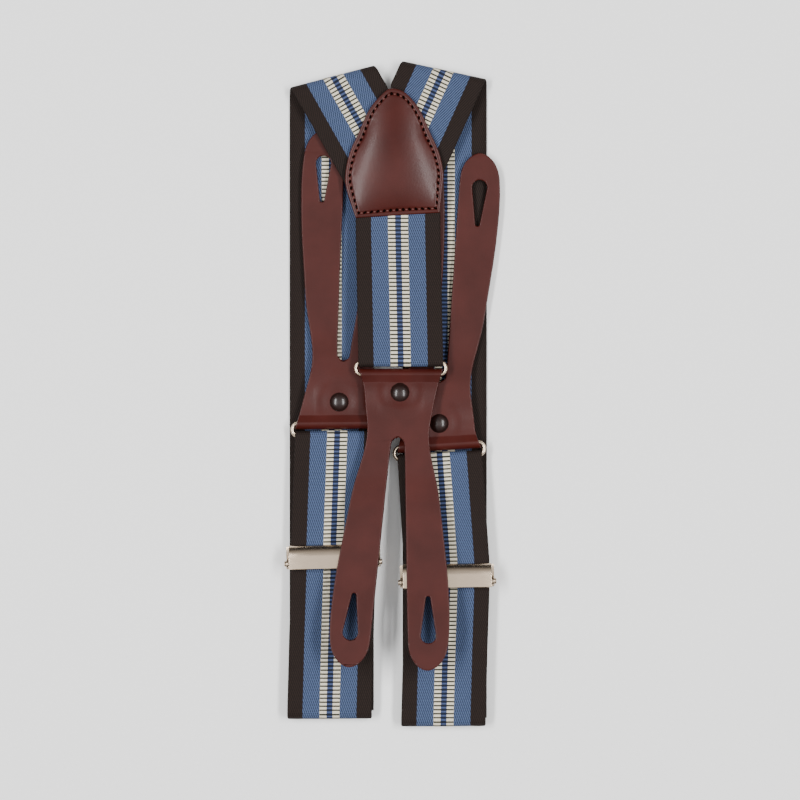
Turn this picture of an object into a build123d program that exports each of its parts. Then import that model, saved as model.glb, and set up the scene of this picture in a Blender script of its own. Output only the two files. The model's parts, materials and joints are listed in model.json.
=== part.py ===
"""Y-back button-on suspenders, folded flat: striped elastic webbing, leather yoke and forked ends.

Millimetres, +Z up from the surface that the folded set lies on, +Y towards the shoulder folds.
The origin is under the middle of the folded set.
"""

import os
from math import cos, radians, sin, tan

from build123d import *

os.makedirs("parts", exist_ok=True)

# Webbing
WEB_WIDTH = 35.0
WEB_THICK = 1.4
HALF_WEB = WEB_WIDTH / 2
LAYER_GAP = 0.25

# Leather
LEATHER = 1.7
END_LENGTH = 121.0
TONGUE = 17.5
TONGUE_STEP = 5.2
NECK = [(3.0, HALF_WEB - 1.7), (12.5, HALF_WEB - 3.3), (23.5, HALF_WEB - 4.7)]
CROTCH = 0.215 * END_LENGTH
CROTCH_ROUND = 2.0
BEND_START = 0.5
BEND_LENGTH = 2.4
TIP_HALF = 6.3
HOLE_WIDE = 3.1
HOLE_NARROW = 0.9
HOLE_LENGTH = 15.2
HOLE_SETBACK = 1.3

# Wire rings
WIRE = 1.6
LOOP_FIT = 0.05
LOOP_REACH = WIRE / 2 + LOOP_FIT
RING_CORNER = 0.75 * WIRE
RING_LENGTH = WEB_WIDTH + 2 * RING_CORNER - 0.3 + WIRE
RING_HEIGHT = 2 * LOOP_REACH + WEB_THICK + LEATHER + WIRE + 0.6
RIGHT_RING_LEAN = 3.5
LOOP_STRAIGHT = 3.8
LOOP_TAIL = LOOP_STRAIGHT + HALF_WEB * tan(radians(RIGHT_RING_LEAN)) + 0.13

# Rivets
CAP_RADIUS = 4.0
CAP_HEIGHT = 1.6
STUD_RADIUS = 3.0
STUD_HEAD = 0.4
SHANK = 1.25
SHANK_FIT = 0.05
FRONT_RIVET = 8.7
REAR_RIVET = 7.2

# Lever adjusters
SHEET = 0.8
LEVER_WIDTH = WEB_WIDTH + 1.8
LEVER_HEIGHT = 9.85
LEVER_ROLL = 4.4
PIN_RADIUS = 0.8
PIN_UP = 2.4
PIN_FIT = 0.05
SIDE_FIT = 0.3
PIN_HEAD = PIN_RADIUS + 0.4

# Yoke
YOKE_TOP = END_LENGTH + 6.0
YOKE_BOTTOM = YOKE_TOP - 53.5
YOKE_LEATHER = 1.6
YOKE_X = 1.6
YOKE_HALF = HALF_WEB + 3.1
YOKE_FLANK = [(0.22, 0.965), (0.5, 0.84), (0.73, 0.65), (0.9, 0.5), (0.985, 0.34), (0.96, 0.22)]
LINING = 1.0
LINING_INSET = 0.6
STRAP_IN = 4.0
SEAM_GAP = 0.15
SEAM_INSET = 2.2
THREAD = 0.7
THREAD_RISE = 0.3

# Back strap and rear end
STRAP_TOP_X = 3.1
REAR_RING_X = 4.2
REAR_RING_Y = 11.4
REAR_END_LEAN = -2.5
REAR_END_RISE = 6.0
REAR_LIFT = LEATHER + CAP_HEIGHT + 0.85

# Heights of the layers
RING_Z = WEB_THICK + 0.2 + STUD_HEAD + LEATHER + LOOP_REACH
WIRE_SPREAD = (RING_HEIGHT - WIRE) / 2
TAIL_Z = RING_Z - LOOP_REACH - WEB_THICK
MAIN_Z = RING_Z + LOOP_REACH
LEG_TOP = RING_Z - LOOP_REACH
LINING_Z = LEG_TOP + 0.3
SHOULDER_Z = LINING_Z + LINING + 0.1
REAR_RING_Z = RING_Z + REAR_LIFT
PATCH_Z = SHOULDER_Z + WEB_THICK + 0.1
PATCH_TOP = PATCH_Z + WEB_THICK + YOKE_LEATHER
PIN_Z = MAIN_Z + WEB_THICK + PIN_RADIUS + 0.6
FRAME_Z = TAIL_Z + WEB_THICK + 0.3
EAR_IN = LEVER_WIDTH / 2 + SIDE_FIT

# The legs of the forked ends: how far along each station is, as a share of the length, and its half width
STATIONS = [0.24, 0.372, 0.496, 0.612, 0.76, 0.893]
LEG_HALF = [5.1, 6.6, 7.4, 8.1, 8.7, 8.4]
OPEN_LEG = [7.8, 10.4, 12.2, 13.7, 15.2, 16.0]
LEFT_HIDDEN_LEG = [7.6] + [HALF_WEB - x for x in (7.3, 6.6, 7.9, 9.6, 11.1)]
RIGHT_HIDDEN_LEG = [7.6] + [HALF_WEB - x for x in (10.1, 10.5, 10.6, 10.4, 10.2)]

# Where each side lies: x positions, y positions and the leans of what crosses them
SIDES = {
    "left": dict(
        back_x=-HALF_WEB - 7.0,
        top_y=END_LENGTH + 8.3,
        fold=14.7,
        bottom=(-HALF_WEB - 7.8, -130.7),
        adjuster=(-HALF_WEB - 6.2, -66.4),
        adjuster_lean=1.5,
        ring=(-HALF_WEB - 4.6, -13.9),
        ring_lean=0.5,
        end_lean=-5.5,
        legs=(OPEN_LEG, LEFT_HIDDEN_LEG),
    ),
    "right": dict(
        back_x=HALF_WEB + 5.0,
        top_y=END_LENGTH + 11.0,
        fold=-12.2,
        bottom=(HALF_WEB + 4.4, -133.8),
        adjuster=(HALF_WEB + 5.9, -74.3),
        adjuster_lean=1.0,
        ring=(HALF_WEB + 2.7, -22.8),
        ring_lean=RIGHT_RING_LEAN,
        end_lean=-0.5,
        legs=(RIGHT_HIDDEN_LEG, OPEN_LEG),
    ),
}


def lie(point, z=0.0, lean=0.0):
    """A level plane at a point, turned by lean degrees, whose y axis runs along the strap."""
    x_dir = (cos(radians(lean)), sin(radians(lean)), 0)
    return Plane(origin=(point[0], point[1], z), x_dir=x_dir, z_dir=(0, 0, 1))


def strip(z, points):
    """A flat run of webbing whose centre line goes through the points."""
    with BuildPart() as run:
        with BuildSketch(Plane.XY.offset(z)):
            with BuildLine():
                Polyline(
                    [(x - HALF_WEB, y) for x, y in points] + [(x + HALF_WEB, y) for x, y in reversed(points)],
                    close=True,
                )
            make_face()
        extrude(amount=WEB_THICK)
    return run.part


def turn_round(middle, low, high, lean, side):
    """A half turn of webbing that joins the layer at low to the layer at high, its bulge on one side in y."""
    radius = (high + WEB_THICK - low) / 2
    length = WEB_WIDTH / cos(radians(lean))
    plane = lie(middle, low + radius, lean)
    across = Plane(origin=plane.origin - plane.x_dir * length / 2, x_dir=plane.y_dir, z_dir=plane.x_dir)
    with BuildPart() as fold:
        with BuildSketch(across):
            Circle(radius)
            Circle(radius - WEB_THICK, mode=Mode.SUBTRACT)
            with Locations((-side * radius, 0)):
                Rectangle(2 * radius, 2 * radius, mode=Mode.SUBTRACT)
        extrude(amount=length)
    return fold.part


def ring_wire(middle, z, lean):
    """A wire ring bent to a long rectangle with rounded corners."""
    plane = lie(middle, z, lean)
    half = (RING_LENGTH - WIRE) / 2
    corners = [(-half, WIRE_SPREAD), (half, WIRE_SPREAD), (half, -WIRE_SPREAD), (-half, -WIRE_SPREAD)]
    with BuildPart() as ring:
        with BuildLine(plane):
            FilletPolyline(*corners, radius=RING_CORNER, close=True)
        with BuildSketch(Plane(origin=plane.from_local_coords((0, WIRE_SPREAD, 0)), z_dir=plane.x_dir)):
            Circle(WIRE / 2)
        sweep()
    return ring.part


def end_planes(point, z, lean, rise):
    """The top plane (x towards the tips, y across) and the side plane (x towards the tips, y up)."""
    heading, lift = radians(90 + lean), radians(rise)
    along = Vector(cos(heading) * cos(lift), sin(heading) * cos(lift), sin(lift))
    up = Vector(-cos(heading) * sin(lift), -sin(heading) * sin(lift), cos(lift))
    origin = (point[0], point[1], z)
    return Plane(origin=origin, x_dir=along, z_dir=up), Plane(origin=origin, x_dir=along, z_dir=along.cross(up))


def turned(point, lean):
    """A point of the flat outline, turned about the ring's wire."""
    x, y = point
    c, s = cos(radians(lean)), sin(radians(lean))
    return (c * x - s * y, s * x + c * y)


def half_outline(leg, side, lean):
    """Points down one side of a forked end: neck, outer edge, rounded tip, inner edge and crotch.

    The fold lies along the wire, and everything past it is turned by lean degrees.
    """
    start = (-LOOP_REACH - LEATHER, side * HALF_WEB)
    along = [share * END_LENGTH for share in STATIONS]
    outer = NECK + [(x, y + half) for x, y, half in list(zip(along, leg, LEG_HALF))[1:]]
    near = END_LENGTH - 0.7 * TIP_HALF
    tip = [(near, leg[-1] + TIP_HALF), (END_LENGTH, leg[-1]), (near, leg[-1] - TIP_HALF)]
    inner = [(x, y - half) for x, y, half in reversed(list(zip(along, leg, LEG_HALF)))]
    crotch = [(CROTCH + CROTCH_ROUND / 2, CROTCH_ROUND), (CROTCH, 0)]
    return [start] + [turned((x, side * y), lean) for x, y in outer + tip + inner + crotch]


def leather_end(planes, left_leg, right_leg, rivet_at, lean):
    """A forked leather end, folded round its ring, with a buttonhole in each leg."""
    top, side = planes
    legs = ((left_leg, 1), (right_leg, -1))
    with BuildPart() as end:
        with BuildSketch(top.offset(-2 * LEATHER - LOOP_REACH)):
            with BuildLine():
                left = half_outline(left_leg, 1, lean)
                right = half_outline(right_leg, -1, lean)
                Spline(*left, tangents=((1, -0.3), (0, -1)), tangent_scalars=(1, 0.6))
                Spline(*right, tangents=((1, 0.3), (0, 1)), tangent_scalars=(1, 0.6))
                Line(left[0], right[0])
            make_face()
            wide_x = STATIONS[-1] * END_LENGTH - HOLE_SETBACK
            for leg, sign in legs:
                with BuildSketch(mode=Mode.SUBTRACT):
                    with Locations(turned((wide_x - HOLE_LENGTH, sign * leg[-2]), lean)):
                        Circle(HOLE_NARROW)
                    with Locations(turned((wide_x, sign * leg[-1]), lean)):
                        Circle(HOLE_WIDE)
                    make_hull()
            with Locations(turned((rivet_at, 0), lean)):
                Circle(SHANK + SHANK_FIT, mode=Mode.SUBTRACT)
        extrude(amount=4 * LEATHER + 2 * LOOP_REACH)
        with BuildSketch(side.offset(-WEB_WIDTH)):
            low, high = LOOP_REACH, LOOP_REACH + LEATHER
            seat = -low + 0.1
            bend_end = BEND_START + BEND_LENGTH
            step = TONGUE + 0.8
            Circle(high)
            Circle(low, mode=Mode.SUBTRACT)
            with Locations((high, 0)):
                Rectangle(2 * high, 2 * high, mode=Mode.SUBTRACT)
            with BuildLine():
                Polyline(
                    (0, low),
                    (BEND_START, low),
                    (bend_end, seat),
                    (step, seat),
                    (step + TONGUE_STEP, -high),
                    (END_LENGTH + 1, -high),
                    (END_LENGTH + 1, -low),
                    (step + TONGUE_STEP + 0.8, -low),
                    (step + 0.8, seat + LEATHER),
                    (bend_end + 0.1, seat + LEATHER),
                    (BEND_START, high),
                    (0, high),
                    close=True,
                )
            make_face()
            with Locations((TONGUE / 2, -(low + high) / 2)):
                Rectangle(TONGUE, LEATHER)
        extrude(amount=2 * WEB_WIDTH, mode=Mode.INTERSECT)
    return end.part


def rivet(planes, rivet_at, lean):
    """The domed cap, and the stud whose shank goes through both layers of leather."""
    top = planes[0]
    seat = -LOOP_REACH + 0.1 + LEATHER
    sphere = (CAP_RADIUS**2 + CAP_HEIGHT**2) / (2 * CAP_HEIGHT)
    at_x, at_y = turned((rivet_at, 0), lean)
    centre = top.from_local_coords((at_x, at_y, seat))
    with BuildPart() as cap:
        with BuildSketch(Plane(origin=centre, x_dir=top.x_dir, z_dir=-top.y_dir)):
            with BuildLine():
                Line((0, 0), (CAP_RADIUS, 0))
                RadiusArc((CAP_RADIUS, 0), (0, CAP_HEIGHT), -sphere)
                Line((0, CAP_HEIGHT), (0, 0))
            make_face()
        revolve(axis=Axis(centre, top.z_dir))
    bottom = -LOOP_REACH - LEATHER
    with BuildPart() as stud:
        with BuildSketch(Plane(origin=top.from_local_coords((at_x, at_y, bottom)), z_dir=top.z_dir)):
            Circle(STUD_RADIUS)
        extrude(amount=-STUD_HEAD)
        with BuildSketch(Plane(origin=top.from_local_coords((at_x, at_y, bottom)), z_dir=top.z_dir)):
            Circle(SHANK)
        extrude(amount=seat - bottom)
    return cap.part, stud.part


def save(piece, name):
    piece.label = name
    export_step(piece, f"parts/{name}.step")


def side_webbing(name, at):
    """The webbing of one side, from the shoulder fold down the back, up the front and round the ring."""
    back_x, top_y = at["back_x"], at["top_y"]
    low_x, low_y = at["bottom"]
    rise = tan(radians(at["fold"])) * HALF_WEB
    with BuildPart() as back:
        with BuildSketch(Plane.XY):
            with BuildLine():
                Polyline(
                    (back_x - HALF_WEB, low_y),
                    (back_x + HALF_WEB, low_y),
                    (back_x + HALF_WEB, top_y + rise),
                    (back_x - HALF_WEB, top_y - rise),
                    close=True,
                )
            make_face()
        extrude(amount=WEB_THICK)
    back.part.label = f"{name}_back_run"
    export_step(back.part, f"parts/{name}_back_run.step")
    save(turn_round((back_x, top_y), 0, SHOULDER_Z, at["fold"], 1), f"{name}_top_fold")
    save(turn_round((back_x, low_y), 0, MAIN_Z, 0, -1), f"{name}_bottom_fold")

    # The shoulder run goes down and inwards from the fold to the middle of the yoke.
    run = radians(2 * at["fold"] - 90)
    ahead = Vector(cos(run), sin(run), 0)
    reach = (top_y - YOKE_BOTTOM + 10) / -ahead.Y
    inward = 1 if at["fold"] > 0 else -1
    corners = [Vector(back_x - HALF_WEB, top_y - rise), Vector(back_x + HALF_WEB, top_y + rise)]
    with BuildPart() as shoulder:
        with BuildSketch(Plane.XY.offset(SHOULDER_Z)):
            with BuildLine():
                far = [corner + ahead * reach for corner in corners]
                Polyline(corners[0], corners[1], far[1], far[0], close=True)
            make_face()
            with Locations((inward * (WEB_WIDTH - SEAM_GAP), YOKE_TOP)):
                Rectangle(2 * WEB_WIDTH, 4 * WEB_WIDTH, mode=Mode.SUBTRACT)
            with Locations((0, YOKE_BOTTOM + STRAP_IN + SEAM_GAP - 2 * WEB_WIDTH)):
                Rectangle(6 * WEB_WIDTH, 4 * WEB_WIDTH, mode=Mode.SUBTRACT)
        extrude(amount=WEB_THICK)
    shoulder.part.label = f"{name}_shoulder_run"
    export_step(shoulder.part, f"parts/{name}_shoulder_run.step")

    ring_x, ring_y = at["ring"]
    loop_y = ring_y - WIRE_SPREAD
    run_top = (ring_x, loop_y - LOOP_TAIL)
    save(strip(MAIN_Z, [(low_x, low_y), at["adjuster"], run_top]), f"{name}_front_run")

    plane = lie((ring_x, loop_y), RING_Z, at["ring_lean"])
    across = Plane(origin=plane.origin - plane.x_dir * HALF_WEB, x_dir=plane.y_dir, z_dir=plane.x_dir)
    outer = LOOP_REACH + WEB_THICK
    with BuildPart() as loop:
        with BuildSketch(across):
            Circle(outer)
            with Locations((-LOOP_STRAIGHT / 2, 0)):
                Rectangle(LOOP_STRAIGHT, 2 * outer)
            Circle(LOOP_REACH, mode=Mode.SUBTRACT)
            with Locations((-LOOP_TAIL / 2, 0)):
                Rectangle(LOOP_TAIL, 2 * LOOP_REACH, mode=Mode.SUBTRACT)
        extrude(amount=WEB_WIDTH)
    loop.part.label = f"{name}_ring_loop"
    export_step(loop.part, f"parts/{name}_ring_loop.step")

    end_x, end_y = at["adjuster"]
    skew = tan(radians(at["adjuster_lean"])) * HALF_WEB
    tail_end = end_y - LEVER_HEIGHT / 2 + SHEET + skew + LAYER_GAP
    save(strip(TAIL_Z, [(end_x, tail_end), run_top]), f"{name}_tail")


def yoke_outline(inset=0.0):
    """The spade-shaped outline that the yoke's leather is cut to, or one that runs inside it."""
    half = YOKE_HALF - inset
    bottom = YOKE_BOTTOM + inset
    height = YOKE_TOP - 1.3 * inset - bottom
    left = [(YOKE_X - half * x, bottom + height * y) for x, y in YOKE_FLANK]
    right = [(YOKE_X + half * x, bottom + height * y) for x, y in YOKE_FLANK]
    low_left = (YOKE_X - 0.78 * half, bottom)
    low_right = (YOKE_X + 0.91 * half, bottom + 2.2)
    Spline(low_left, *reversed(left), (YOKE_X - 1.0, bottom + height), *right, low_right)
    ThreePointArc(low_right, (YOKE_X, bottom + 0.6), low_left)


def yoke():
    """Front patch, lining and the seam's thread, with the shoulder runs and the back strap between them."""
    with BuildPart() as patch:
        with BuildSketch(Plane.XY.offset(PATCH_Z)):
            with BuildLine():
                yoke_outline()
            make_face()
        extrude(amount=PATCH_TOP - PATCH_Z)
        fillet(patch.edges().group_by(Axis.Z)[-1], radius=0.7)
        with BuildSketch(Plane.XY.offset(PATCH_Z)):
            with Locations((YOKE_X, YOKE_BOTTOM)):
                Rectangle(4 * YOKE_HALF, 2 * STRAP_IN)
        extrude(amount=WEB_THICK + 0.1, mode=Mode.SUBTRACT)
    patch.part.label = "yoke_patch"
    export_step(patch.part, "parts/yoke_patch.step")
    with BuildPart() as lining:
        with BuildSketch(Plane.XY.offset(LINING_Z)):
            with BuildLine():
                yoke_outline(LINING_INSET)
            make_face()
        extrude(amount=LINING)
    lining.part.label = "yoke_lining"
    export_step(lining.part, "parts/yoke_lining.step")
    with BuildPart() as stitching:
        with BuildSketch(Plane.XY.offset(PATCH_TOP)):
            with BuildLine():
                yoke_outline(SEAM_INSET)
            make_face()
            with BuildLine():
                yoke_outline(SEAM_INSET + THREAD)
            make_face(mode=Mode.SUBTRACT)
        extrude(amount=THREAD_RISE)
    stitching.part.label = "yoke_stitching"
    export_step(stitching.part, "parts/yoke_stitching.step")


def back_strap():
    """The doubled strap that goes from the yoke round the rear ring and back up."""
    wire_y = REAR_RING_Y + WIRE_SPREAD
    outer = LOOP_REACH + WEB_THICK
    under = SHOULDER_Z
    over = under + WEB_THICK + 0.1
    start = (STRAP_TOP_X, YOKE_BOTTOM + STRAP_IN)
    stop = (REAR_RING_X, wire_y - outer)
    with BuildPart() as strap:
        with BuildSketch(Plane.XY):
            with BuildLine():
                Polyline(
                    (start[0] - HALF_WEB, start[1]),
                    (start[0] + HALF_WEB, start[1]),
                    (stop[0] + HALF_WEB, stop[1]),
                    (stop[0] - HALF_WEB, stop[1]),
                    close=True,
                )
            make_face()
        extrude(amount=3 * REAR_RING_Z)
        with BuildSketch(Plane.YZ.offset(-2 * WEB_WIDTH)):
            with Locations((wire_y, REAR_RING_Z)):
                Circle(outer)
                Circle(LOOP_REACH, mode=Mode.SUBTRACT)
            with Locations((wire_y + outer, REAR_RING_Z)):
                Rectangle(2 * outer, 2 * outer, mode=Mode.SUBTRACT)
            for at_yoke, at_ring in ((under, REAR_RING_Z - outer), (over, REAR_RING_Z + LOOP_REACH)):
                with BuildLine():
                    Polyline(
                        (wire_y, at_ring),
                        (YOKE_BOTTOM - STRAP_IN, at_yoke),
                        (start[1] + 1, at_yoke),
                        (start[1] + 1, at_yoke + WEB_THICK),
                        (YOKE_BOTTOM - STRAP_IN, at_yoke + WEB_THICK),
                        (wire_y, at_ring + WEB_THICK),
                        close=True,
                    )
                make_face()
        extrude(amount=4 * WEB_WIDTH, mode=Mode.INTERSECT)
    strap.part.label = "back_strap"
    export_step(strap.part, "parts/back_strap.step")


def adjuster(name, at):
    """A lever adjuster: the folded frame with its two ears, the lever with its barrel, and two pins."""
    plane = lie(at["adjuster"], 0, at["adjuster_lean"])
    low = -LEVER_HEIGHT / 2
    pin_y = low + PIN_UP
    outside = EAR_IN + SHEET

    def across(x):
        return Plane(origin=plane.from_local_coords((x, 0, 0)), x_dir=plane.y_dir, z_dir=plane.x_dir)

    jaw_z = TAIL_Z - SHEET / 2
    with BuildPart() as frame:
        for width, length, z, thick in (
            (2 * outside, LEVER_HEIGHT - 0.6, FRAME_Z, SHEET),
            (WEB_WIDTH, SHEET, jaw_z, FRAME_Z - jaw_z),
            (WEB_WIDTH, LEVER_ROLL, jaw_z, SHEET / 2 - 0.1),
        ):
            with BuildSketch(plane.offset(z)):
                with Locations((0, low + length / 2)):
                    Rectangle(width, length)
            extrude(amount=thick)
        for x in (-outside, EAR_IN):
            with BuildSketch(across(x)):
                with Locations((pin_y, PIN_Z)):
                    Circle(PIN_RADIUS + SHEET)
                with Locations((pin_y, (PIN_Z + FRAME_Z) / 2)):
                    Rectangle(2 * (PIN_RADIUS + SHEET), PIN_Z - FRAME_Z)
                with Locations((pin_y, PIN_Z)):
                    Circle(PIN_RADIUS, mode=Mode.SUBTRACT)
            extrude(amount=SHEET)
    frame.part.label = f"{name}_adjuster_frame"
    export_step(frame.part, f"parts/{name}_adjuster_frame.step")

    plate_z = PIN_Z + 0.1
    roll_y = -low - LEVER_ROLL
    roll_z = plate_z + 1.2
    with BuildPart() as lever:
        with BuildSketch(across(-LEVER_WIDTH / 2)):
            with BuildLine():
                Line((low, plate_z), (roll_y, plate_z))
                ThreePointArc((roll_y, plate_z), (-low - LEVER_ROLL / 2, roll_z), (-low - SHEET, plate_z - 0.4))
                Line((-low - SHEET, plate_z - 0.4), (-low, plate_z - 0.4))
                ThreePointArc(
                    (-low, plate_z - 0.4),
                    (-low - LEVER_ROLL / 2 + SHEET / 4, roll_z + SHEET),
                    (roll_y - SHEET / 2, plate_z + SHEET),
                )
                Line((roll_y - SHEET / 2, plate_z + SHEET), (low, plate_z + SHEET))
                Line((low, plate_z + SHEET), (low, plate_z))
            make_face()
            with Locations((pin_y, PIN_Z)):
                Circle(PIN_RADIUS + SHEET / 2)
                Circle(PIN_RADIUS + PIN_FIT, mode=Mode.SUBTRACT)
        extrude(amount=LEVER_WIDTH)
    lever.part.label = f"{name}_lever"
    export_step(lever.part, f"parts/{name}_lever.step")

    for end, sign in (("left", -1), ("right", 1)):
        start = Plane(
            origin=plane.from_local_coords((sign * (LEVER_WIDTH / 2 - 2), pin_y, PIN_Z)),
            z_dir=plane.x_dir * sign,
        )
        shank = EAR_IN + SHEET - LEVER_WIDTH / 2 + 2
        with BuildPart() as pin:
            with BuildSketch(start):
                Circle(PIN_RADIUS)
            extrude(amount=shank)
            with BuildSketch(start.offset(shank)):
                Circle(PIN_HEAD)
            extrude(amount=SHEET)
            fillet(pin.edges().sort_by(Axis(start.origin, start.z_dir))[-1], radius=SHEET / 2)
        pin.part.label = f"{name}_adjuster_{end}_pin"
        export_step(pin.part, f"parts/{name}_adjuster_{end}_pin.step")


def ring_and_end(name, middle, z, ring_lean, end_lean, rise, away, legs, rivet_at):
    """A ring with the leather end that hangs on it; away is 1 where the tips point to +Y, -1 to -Y."""
    save(ring_wire(middle, z, ring_lean), f"{name}_ring")
    wire = lie(middle, z, ring_lean).from_local_coords((0, away * WIRE_SPREAD, 0))
    heading = ring_lean if away > 0 else ring_lean + 180
    planes = end_planes((wire.X, wire.Y), z, heading, rise)
    lean = end_lean - ring_lean
    save(leather_end(planes, *legs, rivet_at, lean), f"{name}_leather_end")
    cap, stud = rivet(planes, rivet_at, lean)
    save(cap, f"{name}_rivet_cap")
    save(stud, f"{name}_rivet_stud")


for side_name, places in SIDES.items():
    side_webbing(side_name, places)
    adjuster(side_name, places)
    leans = (places["ring_lean"], places["end_lean"])
    ring_and_end(side_name, places["ring"], RING_Z, *leans, 0, 1, places["legs"], FRONT_RIVET)

yoke()
back_strap()
rear_ring = (REAR_RING_X, REAR_RING_Y)
rear_legs = (OPEN_LEG, OPEN_LEG)
ring_and_end("rear", rear_ring, REAR_RING_Z, 0, REAR_END_LEAN, REAR_END_RISE, -1, rear_legs, REAR_RIVET)
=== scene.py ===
"""Y-back button-on suspenders, folded flat: the finished pieces, their materials and the stage."""

import json
import math

import bmesh
import bpy
import numpy as np
from mathutils import Matrix, Vector
from mathutils.kdtree import KDTree


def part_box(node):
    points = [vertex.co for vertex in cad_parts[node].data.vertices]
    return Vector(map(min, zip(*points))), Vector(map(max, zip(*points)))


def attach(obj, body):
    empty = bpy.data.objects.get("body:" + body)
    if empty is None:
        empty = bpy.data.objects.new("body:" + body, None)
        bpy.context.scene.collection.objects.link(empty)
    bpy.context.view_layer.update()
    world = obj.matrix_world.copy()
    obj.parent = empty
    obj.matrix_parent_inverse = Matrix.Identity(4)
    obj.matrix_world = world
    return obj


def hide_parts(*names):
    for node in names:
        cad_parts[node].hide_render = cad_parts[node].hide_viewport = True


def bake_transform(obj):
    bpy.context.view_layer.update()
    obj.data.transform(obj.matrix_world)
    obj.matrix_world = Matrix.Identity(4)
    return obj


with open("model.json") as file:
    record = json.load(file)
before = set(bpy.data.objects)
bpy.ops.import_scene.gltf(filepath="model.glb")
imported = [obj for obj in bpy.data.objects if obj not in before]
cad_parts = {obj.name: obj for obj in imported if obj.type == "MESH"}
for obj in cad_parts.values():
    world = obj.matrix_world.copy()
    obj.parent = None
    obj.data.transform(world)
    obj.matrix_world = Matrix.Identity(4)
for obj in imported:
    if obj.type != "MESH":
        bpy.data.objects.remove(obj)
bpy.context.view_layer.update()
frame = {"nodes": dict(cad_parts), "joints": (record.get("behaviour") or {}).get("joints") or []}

bl_info = {
    "name": "Folded Suspenders",
    "version": (1, 0, 0),
    "blender": (4, 5, 0),
    "location": "3D View > Sidebar > Suspenders",
    "description": "Models striped elastic suspenders with leather yoke, forked ends and lever adjusters",
    "category": "Add Mesh",
}

MM = 0.001
SIDES = ("left", "right")
ENDS = ("left", "right", "rear")
JOINTS = {joint["name"]: joint for joint in frame["joints"]}

# Sizes shared with the frame, in metres, and angles in degrees.
FOLD_ANGLE = {"left": 14.7, "right": -12.2}
RING_REACH = 0.85 * MM
WIRE_SPREAD = 2.7 * MM
WIRE_RADIUS = 0.8 * MM
REAR_RISE = 6
STEP_START = 18.7 * MM
STEP_LENGTH = 5.2 * MM
STEP_DROP = 1.8 * MM
LEVER_WIDTH = 36.8 * MM
LEVER_HEIGHT = 9.85 * MM
LEVER_RISE = 1.8 * MM
SHEET_THICK = 0.8 * MM
ROLL_RADIUS = 6.2 * MM
PIN_UP = 2.4 * MM
BARREL_RADIUS = 1.2 * MM
CAP_RADIUS = 4.0 * MM
CAP_HEIGHT = 1.6 * MM
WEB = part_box("left_back_run")
WEB_WIDTH = WEB[1][0] - WEB[0][0]
WEB_THICK = WEB[1][2] - WEB[0][2]

# Half widths of the woven stripes, from the middle of the webbing outwards.
NAVY_EDGE = 1.225 * MM
CREAM_EDGE = 4.125 * MM
BLUE_EDGE = 11.1 * MM
BAR_PITCH = 1.66 * MM
SELVEDGE = 0.7 * MM

# Webbing: where its paths turn, run straight and end.
BOTTOM_FOLD_X = {"left": -25.3 * MM, "right": 21.9 * MM}
JAW_BEYOND_PIN = 2.5 * MM
ADJUSTER_STRAIGHT = 6 * MM
LOOP_END = 4.8 * MM
TAIL_TOP = 4.9 * MM
BACK_STRAP_SHIFT = 1.1 * MM

# Woven elastic: twill ribs across and along the webbing, weft threads and yarn.
RIB_PITCH = 0.87 * MM
RIB_CLIMB = 2.3 * MM
WEFT_PITCH = 0.62 * MM
YARN_PITCH = 0.35 * MM

# Leather: clouds of tone, pebble, pores and needle holes, and how much it shines.
CLOUD_SIZE = 14 * MM
PEBBLE_SIZE = 1.1 * MM
PORE_SIZE = 0.5 * MM
NEEDLE_HOLE = 0.5 * MM
LEATHER_SPECULAR = 0.2
LEATHER_COAT = 0.06

# Yoke: its outline as shares of its half width and height, and the height of its rim.
YOKE_HALF = 20.6 * MM
YOKE_MIDDLE = 1.6 * MM
YOKE_FLANK = [(0.96, 0.22), (0.985, 0.34), (0.9, 0.5), (0.73, 0.65), (0.5, 0.84), (0.22, 0.965)]
YOKE_RIM = 2.1 * MM
STITCH_GAP = 1.5 * MM

# Stage: the floor just under the part, the paper's tooth and the camera's sensor in its own millimetres.
FLOOR_HEIGHT = -0.05 * MM
PAPER_TOOTH = 1.5 * MM
SENSOR_WIDTH = 36

# Copies of the frame's meshes: points closer than this are one point.
MERGE_DISTANCE = 0.002 * MM


# ---------------------------------------------------------------- settings


def length_setting(name, description, default):
    """A length in metres that the user can set."""
    return bpy.props.FloatProperty(
        name=name, description=description, default=default, subtype="DISTANCE", unit="LENGTH"
    )


def colour_setting(name, description, default):
    """A colour that the user can set, as an sRGB hex value."""
    return bpy.props.StringProperty(name=name, description=description, default=default)


class WebbingSettings(bpy.types.PropertyGroup):
    """Sizes and colours of the woven elastic"""

    bar_rise: length_setting("Bar rise", "How far the raised cream bars stand above the weave", 0.16 * MM)
    waviness: length_setting("Waviness", "How far the webbing strays from flat between its folds", 0.22 * MM)
    dark: colour_setting("Border colour", "sRGB hex of the dark borders", "#1b1310")
    blue: colour_setting("Blue colour", "sRGB hex of the slate blue stripes", "#39455f")
    cream: colour_setting("Cream colour", "sRGB hex of the raised cream bars", "#cfc7b4")
    navy: colour_setting("Navy colour", "sRGB hex of the middle stripe", "#262e45")


class LeatherSettings(bpy.types.PropertyGroup):
    """Sizes and colours of the leather and its seams"""

    colour: colour_setting("Leather colour", "sRGB hex of the oxblood leather", "#3b120d")
    dome: length_setting("Yoke dome", "How far the middle of the yoke swells above its seam", 3.2 * MM)
    stitch_pitch: length_setting("Stitch pitch", "Distance from one needle hole to the next", 2.9 * MM)
    seam_inset: length_setting("Seam inset", "Distance of the yoke's seam from its edge", 2.2 * MM)


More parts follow.
